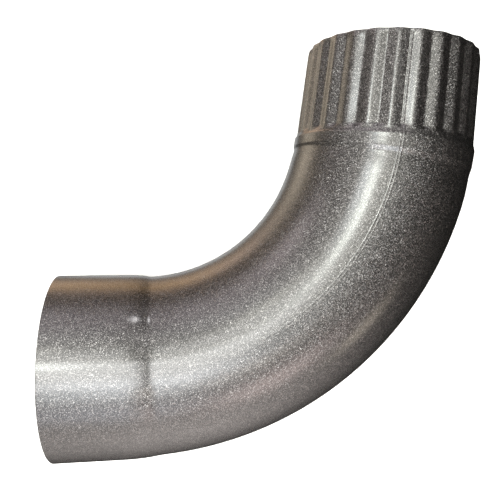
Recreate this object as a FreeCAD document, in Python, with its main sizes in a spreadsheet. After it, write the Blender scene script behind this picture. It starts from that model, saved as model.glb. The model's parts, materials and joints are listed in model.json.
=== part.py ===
"""Round downspout elbow pressed from one sheet-steel tube, in millimetres.

The elbow lies on its side: the bend is in the XY plane, and Z points up through it.
A plain socket opens towards -X, with its mouth's centre at the origin. It steps down into the
bend, which turns towards +Y. A shallow neck and a rolled stop bead end the bend, and past them
comes the crimped spigot, whose flutes taper towards the rim.
"""
import FreeCAD
import Part
import Sketcher
import math
import os

SIZES = {
    "sheet_thickness": 0.6,
    "pipe_diameter": 100.0,
    "socket_clearance": 0.6,
    "socket_length": 45.0,
    "step_length": 8.0,
    "bend_radius": 138.0,
    "bend_angle": 86.0,
    "neck_length": 10.0,
    "neck_drop": 0.6,
    "bead_ramp": 2.5,
    "bead_flat": 6.5,
    "bead_fall": 3.5,
    "collar_drop": 0.8,
    "crimp_length": 46.5,
    "crimp_taper": 2.4,
    "flute_count": 27,
    "flute_depth": 1.5,
    "flute_round": 2.0,
    "flute_run": 2.0,
}

# Outside radii, worked out from the driving sizes
PIPE = "Sizes.pipe_diameter / 2"
SOCKET = f"{PIPE} + Sizes.socket_clearance + Sizes.sheet_thickness"
NECK = f"{PIPE} - Sizes.neck_drop"
COLLAR = f"{PIPE} - Sizes.collar_drop"
RUN_END = f"{COLLAR} - Sizes.crimp_taper * Sizes.flute_run / Sizes.crimp_length"
RIM = f"{COLLAR} - Sizes.crimp_taper"

# Angles in degrees that the tube has turned through where the step, neck and bead begin and end
TURN_PER_LENGTH = "180 / pi / Sizes.bend_radius"
STEP_END = f"Sizes.step_length * {TURN_PER_LENGTH}"
BEND_END = "Sizes.bend_angle"
BEAD_TOP = f"{BEND_END} - Sizes.bead_fall * {TURN_PER_LENGTH}"
BEAD_START = f"{BEAD_TOP} - Sizes.bead_flat * {TURN_PER_LENGTH}"
NECK_END = f"{BEAD_START} - Sizes.bead_ramp * {TURN_PER_LENGTH}"
NECK_START = f"{NECK_END} - Sizes.neck_length * {TURN_PER_LENGTH}"
HALF_PITCH = "180 / Sizes.flute_count"

# Numbers that a sketch gives its origin, its axes, and the ends and centre of a line or an arc
ORIGIN = (-1, 1)
H_AXIS, V_AXIS = -1, -2
START, END, CENTRE = 1, 2, 3

NORMAL = FreeCAD.Vector(0, 0, 1)
UPRIGHT = FreeCAD.Vector(0, 1, 0)
FULL_TURN = 360


def make_sheet(doc):
    """Put every driving size into a cell of its own, under its name."""
    sheet = doc.addObject("Spreadsheet::Sheet", "Sizes")
    for row, (name, size) in enumerate(SIZES.items(), start=1):
        sheet.set(f"A{row}", name)
        sheet.set(f"B{row}", str(size))
        sheet.setAlias(f"B{row}", name)
    doc.recompute()
    return sheet


def value(expression):
    """Number that an expression of the sizes stands for."""
    return float(elbow.evalExpression(expression))


def section_sketch(name, turn, past="0"):
    """Add a sketch square to the tube where it has turned so far, or a distance straight past there.

    The sketch's upright axis is along Z, and its level axis points to the inside of the bend.
    """
    sketch = elbow.newObject("Sketcher::SketchObject", name)
    plane = next(item for item in elbow.Origin.OriginFeatures if item.Role == "YZ_Plane")
    sketch.AttachmentSupport = [(plane, "")]
    sketch.MapMode = "FlatFace"
    sketch.AttachmentOffset = FreeCAD.Placement(FreeCAD.Vector(), FreeCAD.Rotation(UPRIGHT, value(turn)))
    sketch.setExpression("AttachmentOffset.Rotation.Angle", f"({turn}) * 1 deg")
    across = f"Sizes.bend_radius * (1 - cos({turn})) + ({past}) * sin({turn})"
    along = f"Sizes.socket_length + Sizes.bend_radius * sin({turn}) + ({past}) * cos({turn})"
    sketch.setExpression("AttachmentOffset.Base.x", across)
    sketch.setExpression("AttachmentOffset.Base.z", along)
    return sketch


def drive(sketch, kind, *place, by):
    """Add a dimension and bind it to an expression of the sizes."""
    number = sketch.addConstraint(Sketcher.Constraint(kind, *place, value(by)))
    sketch.setExpression(f"Constraints[{number}]", by)


def drive_angle(sketch, line, by):
    """Bind the angle between a line from the origin and the sketch's upright axis, in degrees."""
    angle = math.radians(value(by))
    number = sketch.addConstraint(Sketcher.Constraint("Angle", line, START, V_AXIS, START, angle))
    sketch.setExpression(f"Constraints[{number}]", f"({by}) * 1 deg")


def constrain(sketch, kind, *place):
    """Add a constraint that has no size."""
    sketch.addConstraint(Sketcher.Constraint(kind, *place))


def add_line(sketch, first, last, construction=False):
    """Add a line and return its number with its two end marks."""
    return sketch.addGeometry(Part.LineSegment(first, last), construction), START, END


def add_arc(sketch, centre, first, last):
    """Add the short arc from first to last and return its number with its end marks in that order."""
    out = first - centre
    back = last - centre
    start = math.atan2(out.y, out.x)
    end = math.atan2(back.y, back.x)
    turn = (end - start) % math.tau
    circle = Part.Circle(centre, NORMAL, out.Length)
    if turn < math.pi:
        return sketch.addGeometry(Part.ArcOfCircle(circle, start, start + turn), False), START, END
    return sketch.addGeometry(Part.ArcOfCircle(circle, end, end - turn + math.tau), False), END, START


def ring_sketch(name, radius, turn, past="0"):
    """Draw the tube's ring, from its outside radius in by the sheet's thickness."""
    sketch = section_sketch(name, turn, past)
    for size in (radius, f"{radius} - Sizes.sheet_thickness"):
        circle = sketch.addGeometry(Part.Circle(FreeCAD.Vector(), NORMAL, value(size)), False)
        constrain(sketch, "Coincident", circle, CENTRE, *ORIGIN)
        drive(sketch, "Radius", circle, by=size)
    return sketch


def add_socket():
    """Pad the socket's ring from its mouth to the start of the bend."""
    socket = elbow.newObject("PartDesign::Pad", "socket")
    socket.Profile = ring_sketch("socket_mouth", SOCKET, "0", "-Sizes.socket_length")
    socket.setExpression("Length", "Sizes.socket_length")
    elbow.Document.recompute()
    return socket


def add_bend():
    """Swing the pipe's ring round the bend's axis, which stands upright on the inside of the bend."""
    sketch = ring_sketch("bend_ring", PIPE, STEP_END)
    reach = value("Sizes.bend_radius")
    foot = FreeCAD.Vector(reach, 0, 0)
    head = FreeCAD.Vector(reach, value(PIPE), 0)
    axis, foot_mark, head_mark = add_line(sketch, foot, head, construction=True)
    constrain(sketch, "PointOnObject", axis, foot_mark, H_AXIS)
    constrain(sketch, "Vertical", axis)
    drive(sketch, "DistanceX", *ORIGIN, axis, foot_mark, by="Sizes.bend_radius")
    drive(sketch, "DistanceY", axis, foot_mark, axis, head_mark, by=PIPE)
    bend = elbow.newObject("PartDesign::Revolution", "bend")
    bend.Profile = sketch
    bend.ReferenceAxis = (sketch, ["Axis0"])
    bend.setExpression("Angle", f"{NECK_START} - {STEP_END}")
    elbow.Document.recompute()
    return bend


def add_loft(name, sections):
    """Loft a wall with straight lines from each section to the next."""
    elbow.Document.recompute()
    loft = elbow.newObject("PartDesign::AdditiveLoft", name)
    loft.Profile = sections[0]
    loft.Sections = sections[1:]
    loft.Ruled = True
    elbow.Document.recompute()
    return loft


def radial(angle, radius):
    """Point at a radius, at an angle in degrees from the sketch's upright axis."""
    turn = math.radians(angle)
    return FreeCAD.Vector(radius * math.sin(turn), radius * math.cos(turn), 0)


def close_wall(sketch, outer, inner):
    """Close the outline between an end of the outer skin and the same end of the inner one."""
    corners = [sketch.getPoint(*mark) for mark in (outer, inner)]
    line, line_start, line_end = add_line(sketch, *corners)
    constrain(sketch, "Coincident", line, line_start, *outer)
    constrain(sketch, "Coincident", line, line_end, *inner)


def round_section(name, past, radius):
    """Draw one flute's share of a plain round wall, split where the flute's own edges will meet it."""
    sketch = section_sketch(name, BEND_END, past)
    share = (-1, -5 / 6, -1 / 6, 1 / 6, 5 / 6, 1)
    angles = [fraction * value(HALF_PITCH) for fraction in share]
    rays = []
    skins = []
    for inset in ("", " - Sizes.sheet_thickness"):
        corners = [radial(angle, value(radius + inset)) for angle in angles]
        marks = []
        for first, last in zip(corners, corners[1:]):
            arc, arc_start, arc_end = add_arc(sketch, FreeCAD.Vector(), first, last)
            constrain(sketch, "Coincident", arc, CENTRE, *ORIGIN)
            if marks:
                constrain(sketch, "Coincident", *marks[-1], arc, arc_start)
            else:
                marks.append((arc, arc_start))
                drive(sketch, "Radius", arc, by=radius + inset)
            marks.append((arc, arc_end))
        skins.append(marks)
        for number, (fraction, corner, mark) in enumerate(zip(share, corners, marks)):
            if inset:
                constrain(sketch, "PointOnObject", *mark, rays[number])
                continue
            ray, ray_start, ray_end = add_line(sketch, FreeCAD.Vector(), corner, construction=True)
            constrain(sketch, "Coincident", ray, ray_start, *ORIGIN)
            constrain(sketch, "Coincident", ray, ray_end, *mark)
            drive_angle(sketch, ray, f"{HALF_PITCH} * {fraction}")
            rays.append(ray)
    close_wall(sketch, skins[0][0], skins[1][0])
    close_wall(sketch, skins[0][-1], skins[1][-1])
    return sketch


def draw_flute_skin(sketch, groove, crests, flank, rounds, rays):
    """Draw one skin of a flute: half a crest, a flank, the groove, a flank and half a crest."""
    groove_round, crest_round = rounds
    groove_size, crest_size = value(groove_round), value(crest_round)
    tops = []
    feet = []
    ends = []
    for side, crest in zip((-1, 1), crests):
        lean = FreeCAD.Vector(-side * flank.x, flank.y, 0)
        tops.append(crest + lean * crest_size)
        feet.append(groove - lean * groove_size)
        ends.append(crest * (1 + crest_size / crest.Length))
    left, left_end, left_top = add_arc(sketch, crests[0], ends[0], tops[0])
    fall, fall_start, fall_end = add_line(sketch, tops[0], feet[0])
    bottom, bottom_start, bottom_end = add_arc(sketch, groove, feet[0], feet[1])
    rise, rise_start, rise_end = add_line(sketch, feet[1], tops[1])
    right, right_top, right_end = add_arc(sketch, crests[1], tops[1], ends[1])
    constrain(sketch, "Tangent", left, left_top, fall, fall_start)
    constrain(sketch, "Tangent", fall, fall_end, bottom, bottom_start)
    constrain(sketch, "Tangent", bottom, bottom_end, rise, rise_start)
    constrain(sketch, "Tangent", rise, rise_end, right, right_top)
    drive(sketch, "Radius", bottom, by=groove_round)
    for arc, end, ray in ((left, left_end, rays[0]), (right, right_end, rays[1])):
        drive(sketch, "Radius", arc, by=crest_round)
        constrain(sketch, "Coincident", arc, CENTRE, ray, END)
        constrain(sketch, "PointOnObject", arc, end, ray)
    return bottom, (left, left_end), (right, right_end)


def flute_section(name, past, crest_radius):
    """Draw one flute's wall: a rounded groove between two half crests, joined by straight flanks."""
    sketch = section_sketch(name, BEND_END, past)
    inner_round = "Sizes.flute_round"
    outer_round = "Sizes.flute_round + Sizes.sheet_thickness"
    crest_height = f"{crest_radius} - ({outer_round})"
    groove_height = f"{crest_radius} - Sizes.flute_depth + {inner_round}"
    half_pitch = value(HALF_PITCH)
    groove = FreeCAD.Vector(0, value(groove_height), 0)
    crests = [radial(side * half_pitch, value(crest_height)) for side in (-1, 1)]
    across = groove - crests[0]
    lift = math.acos((value(outer_round) + value(inner_round)) / across.Length)
    flank_angle = math.atan2(across.y, across.x) + lift
    flank = FreeCAD.Vector(math.cos(flank_angle), math.sin(flank_angle), 0)
    rays = []
    for side, crest in zip((-1, 1), crests):
        ray, ray_start, _ = add_line(sketch, FreeCAD.Vector(), crest, construction=True)
        constrain(sketch, "Coincident", ray, ray_start, *ORIGIN)
        drive(sketch, "Distance", ray, by=crest_height)
        drive_angle(sketch, ray, f"{HALF_PITCH} * {side}")
        rays.append(ray)
    outer = draw_flute_skin(sketch, groove, crests, flank, (inner_round, outer_round), rays)
    inner = draw_flute_skin(sketch, groove, crests, flank, (outer_round, inner_round), rays)
    constrain(sketch, "PointOnObject", outer[0], CENTRE, V_AXIS)
    drive(sketch, "DistanceY", *ORIGIN, outer[0], CENTRE, by=groove_height)
    constrain(sketch, "Coincident", outer[0], CENTRE, inner[0], CENTRE)
    close_wall(sketch, outer[1], inner[1])
    close_wall(sketch, outer[2], inner[2])
    return sketch


def add_crimp():
    """Loft one flute from the round end of the bend to the rim, and repeat it round the spigot."""
    root = round_section("flute_root", "0", COLLAR)
    full = flute_section("flute_full", "Sizes.flute_run", RUN_END)
    rim = flute_section("flute_rim", "Sizes.crimp_length", RIM)
    flute = add_loft("flute", [root, full, rim])
    crimp = elbow.newObject("PartDesign::PolarPattern", "crimp")
    crimp.Originals = [flute]
    crimp.Axis = (root, ["N_Axis"])
    crimp.Angle = FULL_TURN
    crimp.setExpression("Occurrences", "Sizes.flute_count")
    elbow.Tip = crimp
    elbow.Document.recompute()
    return crimp


def check(doc):
    """Stop if any object of the document failed, or the elbow isn't one sound solid."""
    for item in doc.Objects:
        if "Invalid" in item.State or "Error" in item.State:
            raise RuntimeError(f"{item.Label} failed: {item.State}")
    shape = elbow.Shape
    if shape.isNull() or not shape.isValid() or len(shape.Solids) != 1:
        raise RuntimeError("the elbow isn't one sound solid")


document = FreeCAD.newDocument("downspout_elbow")
make_sheet(document)
elbow = document.addObject("PartDesign::Body", "elbow")
elbow.Label = "elbow"
add_socket()
add_loft("step", [
    ring_sketch("socket_end", SOCKET, "0"),
    ring_sketch("step_end", PIPE, STEP_END),
])
add_bend()
add_loft("bead", [
    ring_sketch("neck_start", PIPE, NECK_START),
    ring_sketch("neck_end", NECK, NECK_END),
    ring_sketch("bead_start", PIPE, BEAD_START),
    ring_sketch("bead_top", PIPE, BEAD_TOP),
    ring_sketch("bead_end", COLLAR, BEND_END),
])
add_crimp()
check(document)

os.makedirs("parts", exist_ok=True)
elbow.Shape.exportStep(f"parts/{elbow.Label}.step")
print(f"volume {elbow.Shape.Volume:.1f} mm3, area {elbow.Shape.Area:.1f} mm2, box {elbow.Shape.BoundBox}")
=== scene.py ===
import bmesh
import bpy
import json
import math
from mathutils import Matrix, Vector


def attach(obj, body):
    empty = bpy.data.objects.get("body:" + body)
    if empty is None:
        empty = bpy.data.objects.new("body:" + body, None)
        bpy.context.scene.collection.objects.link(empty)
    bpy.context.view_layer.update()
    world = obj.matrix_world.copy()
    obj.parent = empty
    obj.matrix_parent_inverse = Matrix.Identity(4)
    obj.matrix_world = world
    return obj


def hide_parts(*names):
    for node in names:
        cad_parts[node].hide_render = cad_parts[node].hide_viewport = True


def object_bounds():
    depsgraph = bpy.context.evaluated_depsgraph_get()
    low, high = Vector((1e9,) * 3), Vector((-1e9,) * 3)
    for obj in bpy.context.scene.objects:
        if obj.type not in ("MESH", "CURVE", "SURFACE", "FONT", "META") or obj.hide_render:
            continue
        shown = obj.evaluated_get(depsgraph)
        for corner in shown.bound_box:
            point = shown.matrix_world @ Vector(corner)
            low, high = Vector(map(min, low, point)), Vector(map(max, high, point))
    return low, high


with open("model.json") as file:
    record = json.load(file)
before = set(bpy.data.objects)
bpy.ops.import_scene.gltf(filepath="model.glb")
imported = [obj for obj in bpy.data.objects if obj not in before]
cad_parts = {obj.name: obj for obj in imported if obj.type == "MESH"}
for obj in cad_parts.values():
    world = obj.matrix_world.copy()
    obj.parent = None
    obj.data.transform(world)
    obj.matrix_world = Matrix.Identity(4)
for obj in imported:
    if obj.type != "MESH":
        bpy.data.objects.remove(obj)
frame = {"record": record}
cad_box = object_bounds()

# Elbow
# One tube of thin sheet steel, rolled and welded along a fine seam, then pressed into a bend: a plain
# socket that steps softly down into the bend, a rolled stop bead, and a tapered spigot crimped into
# flutes. A pipe pushes into the socket up to the step, and over the spigot up to the bead.
mounts = {mount["name"]: mount for mount in frame["record"]["mounts"]}
spigot_rim = Vector(mounts["crimped_spigot"]["pos_m"])
spigot_axis = Vector(mounts["crimped_spigot"]["axis"])
SHEET = 0.0006
PIPE_RADIUS = 0.050
SOCKET_RADIUS = mounts["socket"]["dims"]["r_mm"] / 1000 + SHEET
BEND_START = mounts["socket"]["dims"]["length_mm"] / 1000
BEND_ANGLE = math.atan2(spigot_axis.y, spigot_axis.x)
BEND_RADIUS = (spigot_rim.x - BEND_START - spigot_rim.y * spigot_axis.x / spigot_axis.y) / (
    spigot_axis.y - (1 - spigot_axis.x) * spigot_axis.x / spigot_axis.y)
BEND_END = BEND_START + BEND_RADIUS * BEND_ANGLE
SPIGOT_LENGTH = (spigot_rim.y - BEND_RADIUS * (1 - spigot_axis.x)) / spigot_axis.y
RIM = BEND_END + SPIGOT_LENGTH

# Places along the tube, as distances from the mouth, and the tube's outside radii there
STEP_EDGE = 0.0445
STEP_FOOT = 0.0533
NECK_START = BEND_END - 0.0225
BEAD_START = BEND_END - 0.0105
BEAD_END = BEND_END - 0.0032
FLUTE_ROOT = BEND_END - 0.0010
NECK_BOTTOM = BEAD_START - 0.0024
NECK_RADIUS = 0.0494
COLLAR_RADIUS = 0.0490
RIM_RADIUS = 0.0468
RIM_TURN = 0.0018
RIM_TURNED_IN = 0.0005

# Corners of the tube's outside: distance from the mouth, radius, and how far either side of it
# the corner is rounded
NECK_ROUND = 0.0040
BEAD_ROUND = 0.0006
CORNERS = [
    (0.0, SOCKET_RADIUS, 0.0),
    (STEP_EDGE, SOCKET_RADIUS, 0.0066),
    (STEP_FOOT, PIPE_RADIUS, 0.0020),
    (NECK_START, PIPE_RADIUS, NECK_ROUND),
    (NECK_BOTTOM, NECK_RADIUS, 0.0012),
    (BEAD_START, PIPE_RADIUS, BEAD_ROUND),
    (BEAD_END, PIPE_RADIUS, BEAD_ROUND),
    (FLUTE_ROOT, COLLAR_RADIUS, BEAD_ROUND),
    (RIM - RIM_TURN, RIM_RADIUS, 0.0016),
    (RIM, RIM_RADIUS - RIM_TURNED_IN, 0.0),
]

# The flutes deepen over a short run from the collar, and fade to half their depth at the rim
FLUTES = 27
FLUTE_TURN = math.radians(1.35)
FLUTE_RUN = 0.0030
FLUTE_DEPTH = 0.0015
RIM_RELIEF = 0.0035
RELIEF_SHARE = 0.5
CREST_ROUND = 0.0042
GROOVE_ROUND = 0.0022
HALF_PITCH = math.pi / FLUTES
HALF_WIDTH = HALF_PITCH * (COLLAR_RADIUS + RIM_RADIUS) / 2

# Straight flanks touch the rounds of a crest and of the groove beside it
reach = Vector((HALF_WIDTH, FLUTE_DEPTH - CREST_ROUND - GROOVE_ROUND))
flank_tilt = math.asin((CREST_ROUND + GROOVE_ROUND) / reach.length) + math.atan2(reach.y, reach.x)
CREST_EDGE = CREST_ROUND * math.sin(flank_tilt)
GROOVE_EDGE = HALF_WIDTH - GROOVE_ROUND * math.sin(flank_tilt)

# The weld is dressed to two fine ridges side by side. It is ironed flat where the socket is widened,
# and the ridges rise slowly from there along most of the bend
SEAM_ANGLE = math.radians(11)
SEAM_SPREAD = 0.00075
RIDGE_HEIGHT = 0.00008
RIDGE_WIDTH = 0.0004
SEAM_FADE = 0.190


def ease(share):
    """Rise smoothly from 0 to 1."""
    share = min(max(share, 0.0), 1.0)
    return share * share * (3 - 2 * share)


def crest_radius(distance):
    """Outside radius of the tube, measured to the crests where it is fluted."""
    radius, slope = SOCKET_RADIUS, 0.0
    for corner, following in zip(CORNERS, CORNERS[1:]):
        past, rounding = distance - corner[0], corner[2]
        next_slope = (following[1] - corner[1]) / (following[0] - corner[0])
        if past >= rounding:
            radius += (next_slope - slope) * past
        elif past > -rounding:
            radius += (next_slope - slope) * (past + rounding) ** 2 / (4 * rounding)
        slope = next_slope
    return radius


def flute_drop(angle):
    """Depth below the crests at an angle round the spigot."""
    across = abs((angle + FLUTE_TURN) % (2 * HALF_PITCH) - HALF_PITCH) / HALF_PITCH * HALF_WIDTH
    if across < CREST_EDGE:
        return CREST_ROUND - math.sqrt(CREST_ROUND ** 2 - across ** 2)
    if across > GROOVE_EDGE:
        left = HALF_WIDTH - across
        return FLUTE_DEPTH - GROOVE_ROUND + math.sqrt(GROOVE_ROUND ** 2 - left ** 2)
    return CREST_ROUND * (1 - math.cos(flank_tilt)) + (across - CREST_EDGE) * math.tan(flank_tilt)


def seam_rise(angle):
    """Height of the weld's two ridges at an angle round the tube."""
    across = abs(angle - SEAM_ANGLE) * PIPE_RADIUS
    return RIDGE_HEIGHT * ease(1 - abs(across - SEAM_SPREAD) / RIDGE_WIDTH)


def place_ring(verts, distance):
    """Set a ring of points round the bent centre line, at a distance along it from the mouth."""
    turn = min(max(distance - BEND_START, 0.0) / BEND_RADIUS, BEND_ANGLE)
    straight = Vector((min(distance, BEND_START), 0, 0))
    bent = BEND_RADIUS * Vector((math.sin(turn), 1 - math.cos(turn), 0))
    centre = straight + bent + max(distance - BEND_END, 0.0) * spigot_axis
    sideways = Vector((-math.sin(turn), math.cos(turn), 0))
    upwards = Vector((0, 0, 1))
    radius = crest_radius(distance)
    gathered = ease((distance - NECK_START) / (BEAD_START - NECK_START))
    relieved = RELIEF_SHARE * ease((distance - RIM) / RIM_RELIEF + 1)
    crimped = ease((distance - FLUTE_ROOT) / FLUTE_RUN) * (1 - relieved)
    welded = ease((distance - BEND_START) / SEAM_FADE)
    for vert in verts:
        angle = vert[even_layer] + gathered * (vert[flute_layer] - vert[even_layer])
        out = sideways * math.sin(angle) + upwards * math.cos(angle)
        vert.co = centre + out * (radius - crimped * flute_drop(angle) + welded * seam_rise(angle))


# Points round one flute: close together on the rounds, and far apart on the flanks
rounded = [0, CREST_EDGE / 2, CREST_EDGE, (CREST_EDGE + GROOVE_EDGE) / 2]
hollow = [GROOVE_EDGE, (GROOVE_EDGE + HALF_WIDTH) / 2, HALF_WIDTH]
half_flute = [across / HALF_WIDTH * HALF_PITCH for across in rounded + hollow]
one_flute = half_flute + [2 * HALF_PITCH - angle for angle in half_flute[-2:0:-1]]
flute_starts = [HALF_PITCH * (2 * flute - FLUTES) - FLUTE_TURN for flute in range(FLUTES)]
flute_angles = [start + angle for start in flute_starts for angle in one_flute]
even_step = math.tau / len(flute_angles)
even_angles = [even_step * number - math.pi - FLUTE_TURN for number in range(len(flute_angles))]

# Points across the weld, which keep their place all the way along
ridge = [RIDGE_WIDTH * share for share in (-1, -0.5, 0, 0.5, 1)]
left_ridge, right_ridge = [[side + place for place in ridge] for side in (-SEAM_SPREAD, SEAM_SPREAD)]
seam_angles = [SEAM_ANGLE + across / PIPE_RADIUS for across in left_ridge + [0] + right_ridge]

shell = bmesh.new()
even_layer = shell.verts.layers.float.new("even_angle")
flute_layer = shell.verts.layers.float.new("flute_angle")
sides = len(flute_angles + seam_angles)
ring = bmesh.ops.create_circle(shell, segments=sides, radius=PIPE_RADIUS)["verts"]
smooth_places, fluted_places = sorted(even_angles + seam_angles), sorted(flute_angles + seam_angles)
for vert, even, fluted in zip(ring, smooth_places, fluted_places):
    vert[even_layer] = even
    vert[flute_layer] = fluted
place_ring(ring, 0.0)

# The tube grows ring by ring from the mouth: where each stretch of it ends, and its count of rings
EDGE_MARGIN = 0.0005
STEP_BEGINS, STEP_ENDS = 0.036, 0.056
NECK_DIP = BEAD_START - 0.0036
RIM_BEGINS = RIM - 0.0034
STRETCHES = [
    (EDGE_MARGIN, 1),
    (STEP_BEGINS, 4),
    (STEP_ENDS, 26),
    (NECK_START - NECK_ROUND, 48),
    (NECK_DIP, 6),
    (BEAD_START - BEAD_ROUND, 6),
    (BEAD_START + BEAD_ROUND, 4),
    (BEAD_END - BEAD_ROUND, 3),
    (BEAD_END + BEAD_ROUND, 4),
    (FLUTE_ROOT + FLUTE_RUN, 12),
    (RIM_BEGINS, 5),
    (RIM, 6),
]
start = 0.0
front = list(shell.edges)
for end, count in STRETCHES:
    for number in range(1, count + 1):
        grown = bmesh.ops.extrude_edge_only(shell, edges=front)["geom"]
        ring = [item for item in grown if isinstance(item, bmesh.types.BMVert)]
        place_ring(ring, start + (end - start) * number / count)
        edges = [item for item in grown if isinstance(item, bmesh.types.BMEdge)]
        front = [edge for edge in edges if len(edge.link_faces) == 1]
    start = end
bmesh.ops.recalc_face_normals(shell, faces=shell.faces)
for face in shell.faces:
    face.smooth = True

elbow_mesh = bpy.data.meshes.new("elbow_shell")
shell.to_mesh(elbow_mesh)
shell.free()
elbow = bpy.data.objects.new("elbow_shell", elbow_mesh)
bpy.context.scene.collection.objects.link(elbow)
wall = elbow.modifiers.new("sheet", "SOLIDIFY")
wall.thickness = SHEET
wall.offset = -1.0
wall.use_even_offset = True
EDGE_ROUND = 0.00022
cut_edge = elbow.modifiers.new("cut_edge", "BEVEL")
cut_edge.width = EDGE_ROUND
cut_edge.segments = 3
cut_edge.limit_method = "ANGLE"
cut_edge.angle_limit = math.radians(60)

# The paint is a dark enamel full of tiny aluminium flakes, each with its own tilt and its own tone,
# under a glossy clear coat.
FLAKE_SIZE = 0.00021
FLAKE_TILT = 0.85
DULL_SHARE = 0.7
BINDER = (0.010, 0.0095, 0.009, 1)
DULL_FLAKE = (0.030, 0.0285, 0.0275, 1)
FLAKE = (0.270, 0.259, 0.250, 1)
paint = bpy.data.materials.new("metallic_paint")
paint.use_nodes = True
nodes = paint.node_tree.nodes
links = paint.node_tree.links
enamel = nodes["Principled BSDF"]
place = nodes.new("ShaderNodeTexCoord")
flakes = nodes.new("ShaderNodeTexVoronoi")
flakes.inputs["Scale"].default_value = 1 / FLAKE_SIZE
links.new(place.outputs["Object"], flakes.inputs["Vector"])

centred = nodes.new("ShaderNodeVectorMath")
centred.operation = "SUBTRACT"
centred.inputs[1].default_value = (0.5, 0.5, 0.5)
links.new(flakes.outputs["Color"], centred.inputs[0])
tilt = nodes.new("ShaderNodeVectorMath")
tilt.operation = "SCALE"
tilt.inputs["Scale"].default_value = FLAKE_TILT
links.new(centred.outputs["Vector"], tilt.inputs[0])
skin = nodes.new("ShaderNodeNewGeometry")
leaning = nodes.new("ShaderNodeVectorMath")
leaning.operation = "ADD"
links.new(skin.outputs["Normal"], leaning.inputs[0])
links.new(tilt.outputs["Vector"], leaning.inputs[1])
flake_normal = nodes.new("ShaderNodeVectorMath")
flake_normal.operation = "NORMALIZE"
links.new(leaning.outputs["Vector"], flake_normal.inputs[0])
links.new(flake_normal.outputs["Vector"], enamel.inputs["Normal"])

shade = nodes.new("ShaderNodeTexWhiteNoise")
links.new(flakes.outputs["Position"], shade.inputs["Vector"])
tone = nodes.new("ShaderNodeValToRGB")
tone.color_ramp.elements[0].position = 0.0
tone.color_ramp.elements[0].color = BINDER
tone.color_ramp.elements.new(DULL_SHARE).color = DULL_FLAKE
tone.color_ramp.elements[2].position = 1.0
tone.color_ramp.elements[2].color = FLAKE
links.new(shade.outputs["Value"], tone.inputs["Fac"])
links.new(tone.outputs["Color"], enamel.inputs["Base Color"])
enamel.inputs["Metallic"].default_value = 0.9
enamel.inputs["Roughness"].default_value = 0.3
enamel.inputs["Coat Weight"].default_value = 1.0
enamel.inputs["Coat Roughness"].default_value = 0.06
enamel.inputs["Coat IOR"].default_value = 1.5

elbow.data.materials.append(paint)
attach(elbow, "root")
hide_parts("elbow")

# Floor
# A plain white sheet under the elbow. It stays out of the paint's reflections, which show the
# darker room round it instead.
FLOOR_REACH = 8.0
floor_shape = bmesh.new()
bmesh.ops.create_grid(floor_shape, x_segments=1, y_segments=1, size=FLOOR_REACH)
bmesh.ops.translate(floor_shape, verts=floor_shape.verts, vec=(0, 0, cad_box[0].z))
floor_mesh = bpy.data.meshes.new("floor")
floor_shape.to_mesh(floor_mesh)
floor_shape.free()
floor = bpy.data.objects.new("floor", floor_mesh)
bpy.context.scene.collection.objects.link(floor)
white_sheet = bpy.data.materials.new("white_sheet")
white_sheet.use_nodes = True
sheet_shader = white_sheet.node_tree.nodes["Principled BSDF"]
sheet_shader.inputs["Base Color"].default_value = (0.92, 0.92, 0.92, 1)
sheet_shader.inputs["Roughness"].default_value = 0.9
sheet_shader.inputs["Specular IOR Level"].default_value = 0.1
floor.data.materials.append(white_sheet)
floor.visible_glossy = False

# Room light
# A plain room, lit softly from a skylight above the bend and from pale walls in front of it and
# behind it. The right is dark, the left is grey, a small lamp hangs on the wall behind, and a wooden
# bench shows low down at the back.
room = bpy.data.worlds.new("room")
bpy.context.scene.world = room
room.use_nodes = True
air = room.node_tree.nodes
air_links = room.node_tree.links
heading = air.new("ShaderNodeTexCoord")

# Each glow is round and fades evenly away from its direction: direction, brightness, width in degrees
SKYLIGHT_AND_CEILING = [
    ((-0.57, -0.05, 0.82), (1.33, 1.27, 1.20), 34),
    ((-0.21, 0.30, 0.93), (4.41, 4.47, 4.00), 14),
    ((-0.12, -0.23, 0.96), (7.00, 7.43, 7.80), 9),
    ((-0.32, 0.28, 0.90), (13.00, 13.70, 12.60), 3.6),
    ((-0.46, 0.30, 0.835), (6.80, 7.30, 7.40), 4.5),
    ((-0.19, 0.46, 0.87), (2.90, 2.92, 3.00), 6),
    ((-0.23, 0.30, 0.92), (2.75, 2.84, 2.77), 3),
    ((0.13, -0.28, 0.95), (2.00, 1.70, 1.42), 6),
]
WALL_IN_FRONT = [
    ((0.10, -0.95, 0.30), (2.59, 2.39, 2.29), 22),
    ((0.34, -0.64, 0.69), (4.40, 3.50, 3.33), 9),
    ((-0.14, -0.63, 0.76), (2.29, 2.42, 2.78), 9),
    ((0.72, -0.58, 0.39), (2.46, 2.13, 1.69), 6),
]
WALL_BEHIND = [
    ((-0.27, 0.92, 0.28), (2.07, 1.86, 1.99), 14),
    ((-0.69, 0.71, 0.14), (2.47, 2.13, 2.21), 9),
    ((-0.34, 0.72, 0.61), (1.72, 1.75, 1.76), 9),
    ((-0.32, 0.55, 0.77), (2.82, 2.84, 2.52), 4),
    ((0.16, 0.75, 0.64), (1.60, 1.50, 1.50), 9),
]
LAMP = [((0.045, 0.96, 0.29), (13.00, 12.70, 12.80), 2.6)]
BENCH = [
    ((-0.74, 0.34, -0.58), (2.60, 2.23, 1.73), 11),
    ((-0.42, 0.68, -0.60), (1.44, 1.07, 0.86), 8),
    ((-0.20, 0.62, -0.76), (0.94, 0.66, 0.44), 9),
    ((-0.17, 0.76, -0.62), (1.26, 0.77, 0.34), 8),
    ((-0.10, 0.20, -0.97), (0.62, 0.63, 0.63), 8),
    ((-0.17, 0.88, -0.45), (0.64, 0.50, 0.44), 6),
    ((0.06, 0.60, -0.80), (0.40, 0.28, 0.19), 6),
    ((0.06, 0.80, -0.60), (0.55, 0.35, 0.17), 6),
]
total = None
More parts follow.
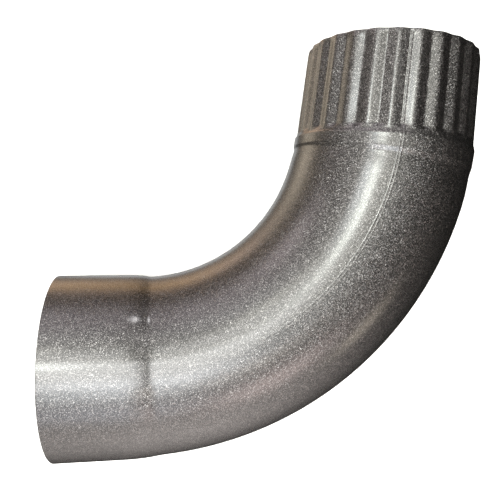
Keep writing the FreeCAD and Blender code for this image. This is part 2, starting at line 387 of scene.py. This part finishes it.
for direction, brightness, width in SKYLIGHT_AND_CEILING + WALL_IN_FRONT + WALL_BEHIND + LAMP + BENCH:
    spread = math.radians(width) ** 2
    facing = air.new("ShaderNodeVectorMath")
    facing.operation = "DOT_PRODUCT"
    facing.inputs[1].default_value = Vector(direction).normalized()
    air_links.new(heading.outputs["Generated"], facing.inputs[0])
    away = air.new("ShaderNodeMath")
    away.operation = "MULTIPLY_ADD"
    away.inputs[1].default_value = 1 / spread
    away.inputs[2].default_value = -1 / spread
    air_links.new(facing.outputs["Value"], away.inputs[0])
    fade = air.new("ShaderNodeMath")
    fade.operation = "EXPONENT"
    air_links.new(away.outputs["Value"], fade.inputs[0])
    glow = air.new("ShaderNodeVectorMath")
    glow.operation = "MULTIPLY_ADD"
    glow.inputs[1].default_value = brightness
    air_links.new(fade.outputs["Value"], glow.inputs[0])
    if total is not None:
        air_links.new(total.outputs["Vector"], glow.inputs[2])
    total = glow

# Where the camera sees past the floor, the backdrop is white
seen = air.new("ShaderNodeLightPath")
backdrop = air.new("ShaderNodeMix")
backdrop.data_type = "VECTOR"
backdrop.inputs["B"].default_value = (1, 1, 1)
air_links.new(seen.outputs["Is Camera Ray"], backdrop.inputs["Factor"])
air_links.new(total.outputs["Vector"], backdrop.inputs["A"])
air_links.new(backdrop.outputs["Result"], air["Background"].inputs["Color"])

# Soft panel
# A white panel of light hangs close above the socket and gives the broad band along the socket and
# the start of the bend. It is cloth in a frame: bright in the middle, fading out towards its edges.
PANEL_SIZE = (0.282, 0.250)
PANEL_FADE = (0.090, 0.070)
PANEL_PLACE = (-0.004, 0.045, 0.36)
PANEL_BRIGHTNESS = 7.55
panel_light = bpy.data.lights.new("panel", "AREA")
panel_light.shape = "RECTANGLE"
panel_light.size, panel_light.size_y = PANEL_SIZE
panel_light.energy = PANEL_BRIGHTNESS * math.pi * PANEL_SIZE[0] * PANEL_SIZE[1]
panel_light.color = (0.990, 1.001, 1.009)
panel_light.use_nodes = True
cloth = panel_light.node_tree.nodes
cloth_links = panel_light.node_tree.links
on_cloth = cloth.new("ShaderNodeSeparateXYZ")
cloth_links.new(cloth.new("ShaderNodeNewGeometry").outputs["Parametric"], on_cloth.inputs[0])
fades = cloth.new("ShaderNodeMath")
fades.operation = "MULTIPLY"
for axis in range(2):
    from_edge = cloth.new("ShaderNodeMath")
    from_edge.operation = "PINGPONG"
    from_edge.inputs[1].default_value = 0.5
    cloth_links.new(on_cloth.outputs[axis], from_edge.inputs[0])
    edge_fade = cloth.new("ShaderNodeMapRange")
    edge_fade.interpolation_type = "SMOOTHSTEP"
    edge_fade.inputs["From Max"].default_value = PANEL_FADE[axis] / PANEL_SIZE[axis]
    cloth_links.new(from_edge.outputs[0], edge_fade.inputs["Value"])
    cloth_links.new(edge_fade.outputs["Result"], fades.inputs[axis])
cloth_links.new(fades.outputs[0], cloth["Emission"].inputs["Strength"])
panel = bpy.data.objects.new("panel", panel_light)
panel.location = PANEL_PLACE
panel.visible_camera = False
bpy.context.scene.collection.objects.link(panel)

# Camera
# It is held close above the elbow and looks nearly square at the bend's plane, with the picture
# moved up a little in its square frame.
VIEW_FROM = Vector((0.06619, 0.08955, 0.28125))
VIEW_ALONG = Vector((0.14078, -0.13541, -0.98074)).normalized()
VIEW_UP = Vector((0.00728, 0.99072, -0.13575))
camera_data = bpy.data.cameras.new("camera")
camera_data.lens = 35.725
camera_data.sensor_width = 36.0
camera_data.shift_x = 0.0004
camera_data.shift_y = 0.0517
camera_data.clip_start = 0.01
camera = bpy.data.objects.new("camera", camera_data)
right = VIEW_ALONG.cross(VIEW_UP).normalized()
turned = Matrix((right, right.cross(VIEW_ALONG), -VIEW_ALONG)).transposed()
camera.matrix_world = Matrix.Translation(VIEW_FROM) @ turned.to_4x4()
bpy.context.scene.collection.objects.link(camera)
bpy.context.scene.camera = camera
bpy.context.scene.view_settings.view_transform = "Standard"
